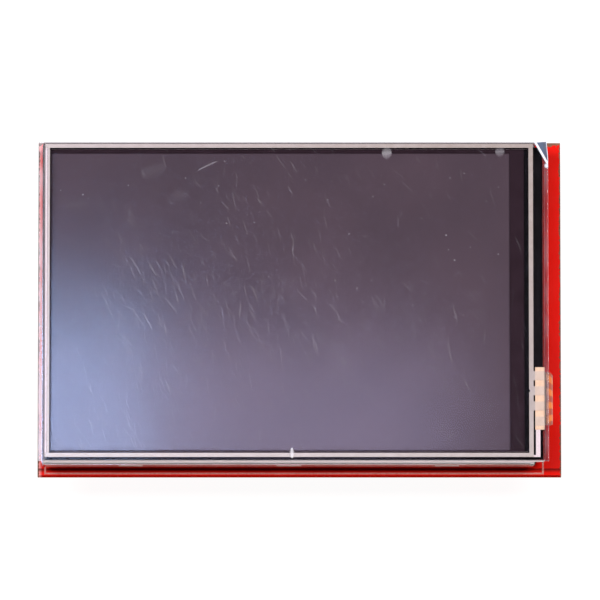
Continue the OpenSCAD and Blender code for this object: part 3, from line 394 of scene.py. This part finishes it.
def clear_sheet(name, tint, edge_tint, dim=None):
    """Clear material: light passes with a tint. The cut edges, whose faces don't lie level, are
    frosted; those that face the near side are painted pale, a painted highlight. Where dim gives a
    box's corners, a width and a colour, light that passes within that width of the box's sides takes
    that colour, a painted shade."""
    material = bpy.data.materials.new(name)
    material.use_nodes = True
    tree = material.node_tree
    tree.nodes.remove(tree.nodes["Principled BSDF"])
    facing = add(tree, "SeparateXYZ", {0: add(tree, "TexCoord", out="Normal")}, out=2)
    level = add(tree, "Math", {0: facing}, operation="ABSOLUTE")
    edge = add(tree, "MapRange", {"Value": level, "From Min": 0.93, "From Max": 0.6})
    colour = linear(tint)
    if dim:
        low, high, width, shade = dim
        axes = add(tree, "SeparateXYZ", {0: add(tree, "TexCoord", out="Object")}).node.outputs
        inside = 1.0
        for axis in (0, 1):
            middle = add(tree, "Math", {0: axes[axis], 1: (low[axis] + high[axis]) / 2},
                         operation="SUBTRACT")
            middle = add(tree, "Math", {0: middle}, operation="ABSOLUTE")
            half = (high[axis] - low[axis]) / 2
            within = add(tree, "MapRange", {"Value": middle, "From Min": half - width,
                                            "From Max": half - 1.3 * width})
            inside = add(tree, "Math", {0: inside, 1: within}, operation="MULTIPLY")
        colour = add(tree, "Mix", {0: inside, 6: linear(shade), 7: colour}, out=2, data_type="RGBA")
    through = add(tree, "BsdfTransparent", {"Color": colour})
    # edges that face the near side are painted pale: a painted highlight
    near = add(tree, "SeparateXYZ", {0: add(tree, "TexCoord", out="Normal")}, out=1)
    near = add(tree, "MapRange", {"Value": near, "From Min": -0.5, "From Max": -0.9})
    rim_tint = add(tree, "Mix", {0: near, 6: linear(edge_tint), 7: linear("#FFF0EE")}, out=2,
                   data_type="RGBA")
    frosted = add(tree, "BsdfDiffuse", {"Color": rim_tint})
    both = add(tree, "MixShader", {0: edge, 1: through, 2: frosted})
    tree.links.new(both, tree.nodes["Material Output"].inputs["Surface"])
    return material, tree, both


clearance = 0.008 * mm
for node, tint, edge_tint, corner, edge, dim_width in (
        ("touch_glass", "#FCFEFD", "#8E9494", 0.35, 0.08, 0.36),
        ("touch_film", "#FDFDFE", "#A8A2A4", 0.35, 0.05, 0)):
    low, high = (np.array(corner_point) for corner_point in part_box(node))
    points, faces = slab(low + [0, 0, clearance], high - [0, 0, clearance], corner * mm, edge * mm)
    # the touch glass passes darker light within dim_width of its sides: painted shade along its margin
    dim = (low, high, dim_width * mm, "#D2CED2") if dim_width else None
    material, tree, _ = clear_sheet(f"clear_{node}", tint, edge_tint, dim)
    new_piece(f"{node}_sheet", points, faces, material, node)


def drawn_in(node, gap):
    """Points and faces of a CAD node made smaller by gap all round: its doubled corners are merged,
    then each moves by gap along X, Y and Z, against the summed normals of its faces."""
    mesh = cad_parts[node].data
    corners = np.zeros(len(mesh.vertices) * 3, np.float32)
    mesh.vertices.foreach_get("co", corners)
    triangles = np.zeros(len(mesh.loops), np.int32)
    mesh.loops.foreach_get("vertex_index", triangles)
    points, same = np.unique(corners.reshape(-1, 3).round(7), axis=0, return_inverse=True)
    triangles = same.ravel()[triangles].reshape(-1, 3)
    spans = points[triangles]
    normals = np.cross(spans[:, 1] - spans[:, 0], spans[:, 2] - spans[:, 0])
    normals /= np.maximum(np.linalg.norm(normals, axis=1), 1e-12)[:, None]
    pull = np.zeros_like(points)
    np.add.at(pull, triangles.ravel(), np.repeat(normals, 3, axis=0))
    return points - gap * np.sign(pull) * (np.abs(pull) > 0.2), triangles.tolist()


points, faces = drawn_in("touch_spacer_frame", 0.006 * mm)
material, tree, _ = clear_sheet("clear_printed_adhesive", "#FCFBFB", "#8F8C8A")
new_piece("spacer_adhesive", points, faces, material, "touch_spacer_frame")

# ---- protective film ---------------------------------------------------------------------------
# Soft clear polyester, laid on by hand and cut a little long. It ripples faintly and shines a
# little. One corner is creased and stands up. The fold is white, partly whitened by the crease and
# partly a painted highlight. The raised flap is painted bluish grey, a painted reflection, and the
# cut edges are white, partly from the cut and partly a painted highlight.

film_low, film_high = (np.array(corner_point) for corner_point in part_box("protective_film"))
flat_top = film_low[2] + 0.068 * mm
film_gauge = 0.05 * mm
crease_length = 4.0 * mm
crease_width = 2.2 * mm
crease_bend = 0.9 * mm
crease_lift = math.radians(38)
crease_start = np.array([film_high[0] - crease_width, film_high[1]])
crease_end = np.array([film_high[0], film_high[1] - crease_length])
crease_run = np.linalg.norm(crease_end - crease_start)
outward = np.array([crease_length, crease_width]) / crease_run


def spread_of(low, high, fine_low, fine_high, fine, coarse):
    """Grid lines from low to high: fine steps near each end for the given stretch, coarse between."""
    return np.unique(np.concatenate([
        np.linspace(low, low + fine_low, max(2, round(fine_low / fine) + 1)),
        np.linspace(low + fine_low, high - fine_high,
                    round((high - low - fine_low - fine_high) / coarse) + 1),
        np.linspace(high - fine_high, high, max(2, round(fine_high / fine) + 1))]))


def bent_corner(flat_x, flat_y):
    """Lifts the corner: s is the distance past the crease line. On the bend the sheet follows a
    circle of the bend radius, x' = r sin(s / r), z = r (1 - cos(s / r)), then it runs on straight."""
    s = (flat_x - crease_start[0]) * outward[0] + (flat_y - crease_start[1]) * outward[1]
    past = np.maximum(s, 0)
    curl = np.minimum(past / crease_bend, crease_lift)
    straight = past - curl * crease_bend
    along = crease_bend * np.sin(curl) + straight * np.cos(crease_lift)
    rise = crease_bend * (1 - np.cos(curl)) + straight * np.sin(crease_lift)
    lean = np.where(past > 0, curl, 0)
    return flat_x + (along - past) * outward[0], flat_y + (along - past) * outward[1], rise, lean, s


film_x = spread_of(film_low[0], film_high[0], 1.0 * mm, 4.2 * mm, 0.14 * mm, 1.1 * mm)
film_y = spread_of(film_low[1], film_high[1], 0.6 * mm, 5.6 * mm, 0.14 * mm, 1.1 * mm)
grid_x, grid_y = np.meshgrid(film_x, film_y)
x, y, rise, lean, s = bent_corner(grid_x, grid_y)
ripple = 0.005 * mm * (np.sin(grid_x / (2.4 * mm) + np.sin(grid_y / (3.1 * mm)))
                       + np.sin(grid_y / (2.9 * mm) + 2 * np.sin(grid_x / (5.3 * mm))))
crest = flat_top + rise + ripple
top = np.stack([x, y, crest], -1)
lower = np.stack([x + film_gauge * np.sin(lean) * outward[0], y + film_gauge * np.sin(lean) * outward[1],
                  crest - film_gauge * np.cos(lean)], -1)
rows, columns = grid_x.shape
ids = np.arange(rows * columns).reshape(rows, columns)
cells = np.stack([ids[:-1, :-1], ids[:-1, 1:], ids[1:, 1:], ids[1:, :-1]], -1).reshape(-1, 4)
ring = np.concatenate([ids[0, :-1], ids[:-1, -1], ids[-1, :0:-1], ids[:0:-1, 0]])
wall = np.stack([ring + ids.size, np.roll(ring, -1) + ids.size, np.roll(ring, -1), ring], -1)
film_faces = np.concatenate([cells, cells[:, ::-1] + ids.size, wall]).tolist()

material, tree, clear = clear_sheet("clear_polyester_film", "#FDFCFE", "#8A868E")
front = add(tree, "Math", {0: 1.0, 1: add(tree, "NewGeometry", out="Backfacing")}, operation="SUBTRACT")
share = add(tree, "Math", {0: add(tree, "Fresnel", {"IOR": 1.33}), 1: front}, operation="MULTIPLY")
glossy = add(tree, "BsdfGlossy", {"Roughness": 0.12})
shiny = add(tree, "MixShader", {0: share, 1: clear, 2: glossy})
haze_and_sheen, rim, crease, painted_shadow = (add(tree, "Attribute", out="Fac", attribute_name=name)
                           for name in ("haze_and_sheen", "rim", "crease", "painted_shadow"))
fold_middle = 0.1 * mm
from_fold = add(tree, "Math", {0: crease, 1: fold_middle}, operation="SUBTRACT")
from_fold = add(tree, "Math", {0: from_fold}, operation="ABSOLUTE")
flap = add(tree, "MapRange", {"Value": crease, "From Min": fold_middle, "From Max": 0.4 * mm,
                              "To Max": 0.7})
# the raised flap is painted bluish grey: a painted reflection
painted_flap_reflection = add(tree, "BsdfDiffuse", {"Color": linear("#5A6C88")})
shaded = add(tree, "MixShader", {0: flap, 1: shiny, 2: painted_flap_reflection})
# the cut edges are painted white: partly the cut's whitening, partly a painted highlight
cut = add(tree, "MapRange", {"Value": rim, "From Min": 0.12 * mm, "From Max": 0.04 * mm})
cut_on_flap = add(tree, "MapRange", {"Value": crease, "To Min": 0.06, "From Max": fold_middle})
cut = add(tree, "Math", {0: cut, 1: cut_on_flap}, operation="MULTIPLY")
# the fold is painted white: partly the crease's whitening, partly a painted highlight
fold = add(tree, "MapRange", {"Value": from_fold, "From Min": 0.24 * mm, "From Max": 0.1 * mm})
white_share = add(tree, "Math", {0: haze_and_sheen, 1: cut}, operation="MAXIMUM")
white_share = add(tree, "Math", {0: white_share, 1: fold}, operation="MAXIMUM")
# a dark share where the film leaves the glass at the flex end: painted shadow
dark = add(tree, "BsdfDiffuse", {"Color": linear("#2E2228")})
shaded = add(tree, "MixShader", {0: painted_shadow, 1: shaded, 2: dark})
white = add(tree, "BsdfDiffuse", {"Color": linear("#DDE1EC")})
whitening_and_highlights = add(tree, "MixShader", {0: white_share, 1: shaded, 2: white})
tree.links.new(whitening_and_highlights, tree.nodes["Material Output"].inputs["Surface"])
film = new_piece("creased_protective_film", np.concatenate([top.reshape(-1, 3), lower.reshape(-1, 3)]),
                 film_faces, material, "protective_film")
# paler over the far end, more so towards the near side, nearly clear over the flex end: partly the
# film's haze, partly painted sheen. A white spot lies at the foot of the crease. Where the film
# leaves the glass at the flex end it takes a dark share, a painted shadow.
clear_over = 0.06 * mm
painted_shadow_width = 0.8 * mm
rim_of = np.minimum(np.minimum(grid_x - film_x[0], film_x[-1] - grid_x),
                    np.minimum(grid_y - film_y[0], film_y[-1] - grid_y))
waver = 0.5 + 0.5 * np.sin(grid_y / (1.3 * mm) + 2 * np.sin(grid_y / (4.1 * mm)))
nearness = (film_y[-1] - grid_y) / (film_y[-1] - film_y[0])
# painted sheen over the far overhang, paler towards the near side, over the film's own haze
over_far = np.clip((glass_low.x - grid_x) / clear_over, 0, 1) * (0.28 * nearness + 0.14 * waver)
over_flex = np.clip((grid_x - glass_high.x) / clear_over, 0, 1) * (0.01 + 0.05 * waver)
foot = np.hypot(grid_x - crease_end[0] + 0.2 * mm, grid_y - crease_end[1])
haze_and_sheen_of = np.maximum(np.maximum(over_far, over_flex), np.clip(1.6 - foot / (0.3 * mm), 0, 1))
# painted shadow beside the glass's flex edge
painted_shadow_of = (0.5 * np.clip((glass_high.x + painted_shadow_width - grid_x) / painted_shadow_width, 0, 1)
           * (grid_x > glass_high.x))
for name, values in (("haze_and_sheen", haze_and_sheen_of), ("rim", rim_of), ("crease", s), ("painted_shadow", painted_shadow_of)):
    attribute = film.data.attributes.new(name, "FLOAT", "POINT")
    attribute.data.foreach_set("value", np.tile(values.ravel(), 2).astype(np.float32))
film.data.polygons.foreach_set("use_smooth", np.ones(len(film.data.polygons), bool))

# ---- scratches and dust on the film --------------------------------------------------------------
# Fine scratches from handling, mostly steep and a little bent, thicker in some places than in
# others, with specks of dust between them. They scatter light, so they show pale on the dark film.
# Three round marks among the named ones are painted glints, where ripples of the film catch the light.

rng = np.random.default_rng(35)
scratch_angle = 112
CLUSTERS = (
    # x and y in mm, radius in mm, number of scratches, strength
    (-25.4, 4.4, 3.0, 44, 0.22), (-22.3, -6.7, 5.0, 50, 0.15), (-33.2, -18.8, 6.0, 80, 0.17),
    (-8.5, -8.7, 5.0, 44, 0.14), (-0.2, -1.7, 7.0, 70, 0.12), (5.0, -7.7, 4.0, 36, 0.12),
    (18.1, -6.7, 5.0, 40, 0.10), (24.0, -7.5, 4.0, 26, 0.10), (-14.0, 18.0, 8.0, 24, 0.06),
    (-2.0, -8.0, 30.0, 600, 0.07), (-20.0, -9.0, 17.0, 520, 0.11),
)
NAMED = (
    # x, y, length, width in mm, angle, bend in mm, strength: the marks that stand out alone
    (-15.0, 22.8, 3.9, 0.42, 26, 0.1, 0.16), (-26.3, -2.6, 3.4, 0.12, 124, 0.1, 0.34),
    (24.6, -8.6, 2.9, 0.10, 92, 0.05, 0.22), (30.3, -6.0, 2.9, 0.12, 83, 0.1, 0.18),
    (7.3, -10.2, 1.8, 0.12, 103, 0.05, 0.4), (24.9, -22.9, 1.6, 0.10, 40, 0.35, 0.4),
    # the next two marks, near the back edge, are painted glints
    (14.3, 25.0, 1.7, 2.4, 0, 0.0, 0.22), (32.8, 25.2, 1.6, 1.9, 0, 0.0, 0.16),
    # the next mark, at the near edge, is a painted glint
    (-1.2, -25.5, 1.9, 1.0, 90, 0.0, 0.6), (-24.0, 22.0, 4.5, 3.5, 20, 0.0, 0.018),
    (-36.5, 16.2, 3.4, 3.0, 0, 0.0, 0.018), (-19.5, 17.9, 3.0, 2.6, 0, 0.0, 0.018),
)
rows = [NAMED]
for x, y, radius, count, strength in CLUSTERS:
    rows.append(np.stack([
        rng.normal(x, radius, count), rng.normal(y, radius, count), rng.uniform(0.6, 3.2, count),
        rng.uniform(0.08, 0.17, count), rng.normal(scratch_angle, 16, count),
        rng.normal(0, 0.08, count), strength * rng.uniform(0.4, 1.6, count)], 1))
specks = 150
size = rng.uniform(0.13, 0.3, specks)
rows.append(np.stack([
    rng.uniform(-39.5, 33, specks), rng.uniform(-23.5, 24, specks), size, 0.9 * size,
    rng.uniform(0, 180, specks), np.zeros(specks), rng.uniform(0.12, 0.5, specks)], 1))
marks = np.concatenate(rows) * [mm, mm, mm, mm, math.pi / 180, mm, 1]
kept = ((np.abs(marks[:, 0] - (glass_low.x + glass_high.x) / 2) < 39 * mm)
        & (np.abs(marks[:, 1]) < 25.9 * mm))
marks = marks[kept][:, :, None]


def leaves(x, y, length, width, angle, bend, z, lift, stations=5):
    """Closed slivers: at t from -1 to 1 along its length a sliver's middle stands bend (1 - t^2) off
    the straight line, its half width is width / 2 times sqrt(1 - t^2), and its ridge stands lift high."""
    t = np.cos(np.linspace(0, math.pi, stations + 2))
    along, off = t * length / 2, bend * (1 - t ** 2)
    half = width / 2 * np.sqrt(np.maximum(1 - t ** 2, 0))
    edges = [(off + side * half, np.full(t.shape, rise)) for side, rise in ((-1, 0), (0, lift), (1, 0))]
    lines = [np.stack([x + along * np.cos(angle) - across * np.sin(angle),
                       y + along * np.sin(angle) + across * np.cos(angle),
                       z + np.broadcast_to(rise, across.shape)], -1) for across, rise in edges]
    inner = np.stack(lines, 2)[:, 1:-1]
    poles = lines[0][:, [0, -1]]
    points = np.concatenate([inner.reshape(len(inner), -1, 3), poles], 1)
    ids = np.arange(stations * 3).reshape(stations, 3)
    beside = np.roll(ids, -1, axis=1)
    sides = np.stack([ids[:-1], beside[:-1], beside[1:], ids[1:]], -1).reshape(-1, 4)
    start, stop = stations * 3, stations * 3 + 1
    caps = [(start, b, a, a) for a, b in zip(ids[0], beside[0])]
    caps += [(stop, a, b, b) for a, b in zip(ids[-1], beside[-1])]
    return points, sides, np.array(caps)


points, sides, caps = leaves(*marks[:, :6].transpose(1, 0, 2), flat_top + 0.001 * mm, 0.004 * mm)
shift = np.arange(len(points))[:, None, None] * points.shape[1]
faces = (sides + shift).reshape(-1, 4).tolist() + (caps[:, :3] + shift).reshape(-1, 3).tolist()
material, tree, shader, where = surface("pale_scratch_and_glint", {})
tree.nodes.remove(shader)
scatter = add(tree, "BsdfDiffuse", {"Color": linear("#F2F0F8")})
strength = add(tree, "Attribute", out="Fac", attribute_name="strength")
pale = add(tree, "MixShader", {0: strength, 1: add(tree, "BsdfTransparent"), 2: scatter})
tree.links.new(pale, tree.nodes["Material Output"].inputs["Surface"])
scratches = new_piece("film_scratches_and_glints", points, faces, material)
ridge = np.zeros(points.shape[:2], np.float32)
ridge[:, 1:-2:3] = marks[:, 6]
attribute = scratches.data.attributes.new("strength", "FLOAT", "POINT")
attribute.data.foreach_set("value", ridge.ravel())

# ---- copper tracks under the board ------------------------------------------------------------------
# Etched copper under the red mask, a little proud and a little lighter: one track from each of ten
# header pins to the level shifter leads on its side. The lanes nest, so no track crosses another.

track_width = 0.25 * mm
track_proud = 0.03 * mm
track_clearance = 0.002 * mm
lane_pitch = 0.5 * mm
corner_cut = 0.4 * mm
pin_pitch = 2.54 * mm
pin_half = 0.32 * mm
lead_pitch = 0.65 * mm
first_lane, pin_end, lead_end = 13.9 * mm, 23.2 * mm, 12.8 * mm
track_z = np.array([board_low.z - track_proud, board_low.z - track_clearance])
lead_low, lead_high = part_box("level_shifter_leads")
TRACK_ROWS = (
    # side in Y, then the pins of each header row from its flex end, as its node and how many
    (1, (("digital_low_pins", 8), ("digital_high_pins", 2))),
    (-1, (("analog_pins", 6), ("power_pins", 4))),
)


def track(start_x, end_x, lane, side):
    """Points of one track, as 6 stations of 4 corners: down from the pin, along its lane and down to
    the lead, with both corners cut at 45 degrees. Each station lies on the mitre of its two runs,
    across at half the width over the cosine of half the turn."""
    route = np.array([(start_x, pin_end), (start_x, lane + corner_cut), (start_x - corner_cut, lane),
                      (end_x + corner_cut, lane), (end_x, lane - corner_cut), (end_x, lead_end)])
    run = np.diff(route, axis=0)
    run /= np.linalg.norm(run, axis=1)[:, None]
    across = np.stack([-run[:, 1], run[:, 0]], 1)
    joint = np.vstack([across[:1], across[:-1] + across[1:], across[-1:]])
    joint /= np.linalg.norm(joint, axis=1)[:, None]
    joint /= np.sum(joint * np.vstack([across[:1], across]), axis=1)[:, None]
    share = np.array([0.5, -0.5, -0.5, 0.5])
    flat = (route[:, None] + share[:, None] * track_width * joint[:, None]) * [1, side]
    return np.concatenate([flat, np.broadcast_to(track_z[[0, 0, 1, 1], None], (len(route), 4, 1))], 2)


points = []
for side, header_rows in TRACK_ROWS:
    pins = np.concatenate([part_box(node)[1].x - pin_half - pin_pitch * np.arange(count)
                           for node, count in header_rows])
    leads = (lead_low.x + lead_high.x) / 2 + lead_pitch * ((len(pins) - 1) / 2 - np.arange(len(pins)))
    points += [track(pin_x, lead_x, first_lane + i * lane_pitch, side)
               for i, (pin_x, lead_x) in enumerate(zip(pins, leads))]
points = np.array(points)
stations, corners = points.shape[1:3]
ids = np.arange(stations * corners).reshape(stations, corners)
beside = np.roll(ids, -1, axis=1)
walls = np.stack([ids[:-1], ids[1:], beside[1:], beside[:-1]], -1).reshape(-1, 4)
track_faces = np.concatenate([ids[:1], ids[-1:, ::-1], walls])
shift = np.arange(len(points))[:, None, None] * ids.size
faces = np.tile(track_faces, (len(points), 1, 1)) + shift
mirrored = np.arange(len(points)) >= len(points) // 2
faces[mirrored] = faces[mirrored][:, :, ::-1]
faces = faces.reshape(-1, 4).tolist()
material, tree, shader, where = surface("masked_copper_track", {"Roughness": 0.34, "Specular IOR Level": 0.1})
tone = add(tree, "Mix", {0: mottle(tree, where, 5), 6: linear("#E83A20"), 7: linear("#F2482C")}, out=2,
           data_type="RGBA")
tree.links.new(tone, shader.inputs["Base Color"])
new_piece("underside_tracks", points, faces, material)

# ---- floor, lamps and camera ---------------------------------------------------------------------
# A white table under two soft lamps that stand left and right, a little beyond the object, so that
# its near side lies in its own shade. Two small lamps, a cool one and a pale one, are mirrored blurred
# in the near left part of the picture area.

floor_mesh = bpy.data.meshes.new("floor")
floor_mesh.from_pydata([(-3, -3, 0), (3, -3, 0), (3, 3, 0), (-3, 3, 0)], [], [(0, 1, 2, 3)])
floor = bpy.data.objects.new("floor", floor_mesh)
bpy.context.scene.collection.objects.link(floor)
material = bpy.data.materials.new("white_table")
material.use_nodes = True
tree = material.node_tree
tree.nodes.remove(tree.nodes["Principled BSDF"])


def seen_ray(tree):
    """1 for a ray that comes from the camera, from a gloss or through glass, and 0 for a lighting ray."""
    ray = add(tree, "LightPath").node.outputs
    seen = add(tree, "Math", {0: ray["Is Camera Ray"], 1: ray["Is Glossy Ray"]}, operation="ADD")
    return add(tree, "Math", {0: seen, 1: ray["Is Transmission Ray"]}, operation="ADD", use_clamp=True)


plain = add(tree, "AddShader", {0: add(tree, "BsdfDiffuse", {"Color": linear("#E6E6E6")}),
                                1: add(tree, "Emission", {"Strength": 0.25})})
shown = add(tree, "AddShader", {0: add(tree, "BsdfDiffuse", {"Color": (0.12, 0.12, 0.12, 1)}),
                                1: add(tree, "Emission", {"Strength": 0.95})})
table = add(tree, "MixShader", {0: seen_ray(tree), 1: plain, 2: shown})
under = add(tree, "NewGeometry", out="Backfacing")
table = add(tree, "MixShader", {0: under, 1: table, 2: add(tree, "BsdfTransparent")})
tree.links.new(table, tree.nodes["Material Output"].inputs["Surface"])
floor_mesh.materials.append(material)

# the room is white, with a dark ceiling that shows in the glass and no more
world = bpy.data.worlds.new("studio")
bpy.context.scene.world = world
world.use_nodes = True
tree = world.node_tree
up = add(tree, "SeparateXYZ", {0: add(tree, "TexCoord", out="Generated")}, out=2)
ceiling = add(tree, "MapRange", {"Value": up, "From Min": 0.6, "From Max": 0.9, "To Min": 1.0,
                                 "To Max": 0.05})
ray = add(tree, "LightPath").node.outputs
ceiling = add(tree, "Math", {0: ceiling, 1: ray["Is Camera Ray"]}, operation="MAXIMUM")
level = add(tree, "Mix", {0: seen_ray(tree), 2: 0.1, 3: ceiling}, data_type="FLOAT")
tree.links.new(level, tree.nodes["Background"].inputs["Strength"])
tree.nodes["Background"].inputs["Color"].default_value = (1, 1, 1, 1)

LAMPS = (
    # name, place in mm, width and depth in mm, watts, colour
    ("left_softbox", (-380, 90, 560), (320, 220), 3.9, "#FFFAF8"),
    ("right_softbox", (380, 90, 560), (320, 220), 3.9, "#FFFAF4"),
    ("cool_corner_lamp", (-78, 47, 300), (104, 52), 0.086, "#A8CCFF"),
    ("pale_middle_lamp", (-22, 42, 300), (104, 44), 0.036, "#D6CCF4"),
)
for name, place, size, watts, colour in LAMPS:
    light = bpy.data.lights.new(name, "AREA")
    light.shape = "RECTANGLE"
    light.size, light.size_y = size[0] * mm, size[1] * mm
    light.energy = watts
    light.color = linear(colour)[:3]
    lamp = bpy.data.objects.new(name, light)
    lamp.location = np.array(place) * mm
    lamp.rotation_mode = "QUATERNION"
    lamp.rotation_quaternion = Vector((0, 0, 1)).rotation_difference(lamp.location)
    bpy.context.scene.collection.objects.link(lamp)

camera_data = bpy.data.cameras.new("camera")
camera = bpy.data.objects.new("camera", camera_data)
bpy.context.scene.collection.objects.link(camera)
bpy.context.scene.camera = camera
camera_data.sensor_width = 36
camera_data.lens = 1100
elevation = math.radians(76)
distance = 3000 * mm
aim = np.array([0.1, 1.5, 10.1]) * mm
camera.location = aim + distance * np.array([0, -math.cos(elevation), math.sin(elevation)])
camera.rotation_euler = (math.pi / 2 - elevation, 0, 0)
camera_data.clip_start = 0.01

scene = bpy.context.scene
scene.view_settings.view_transform = "Standard"
scene.cycles.transparent_max_bounces = 32
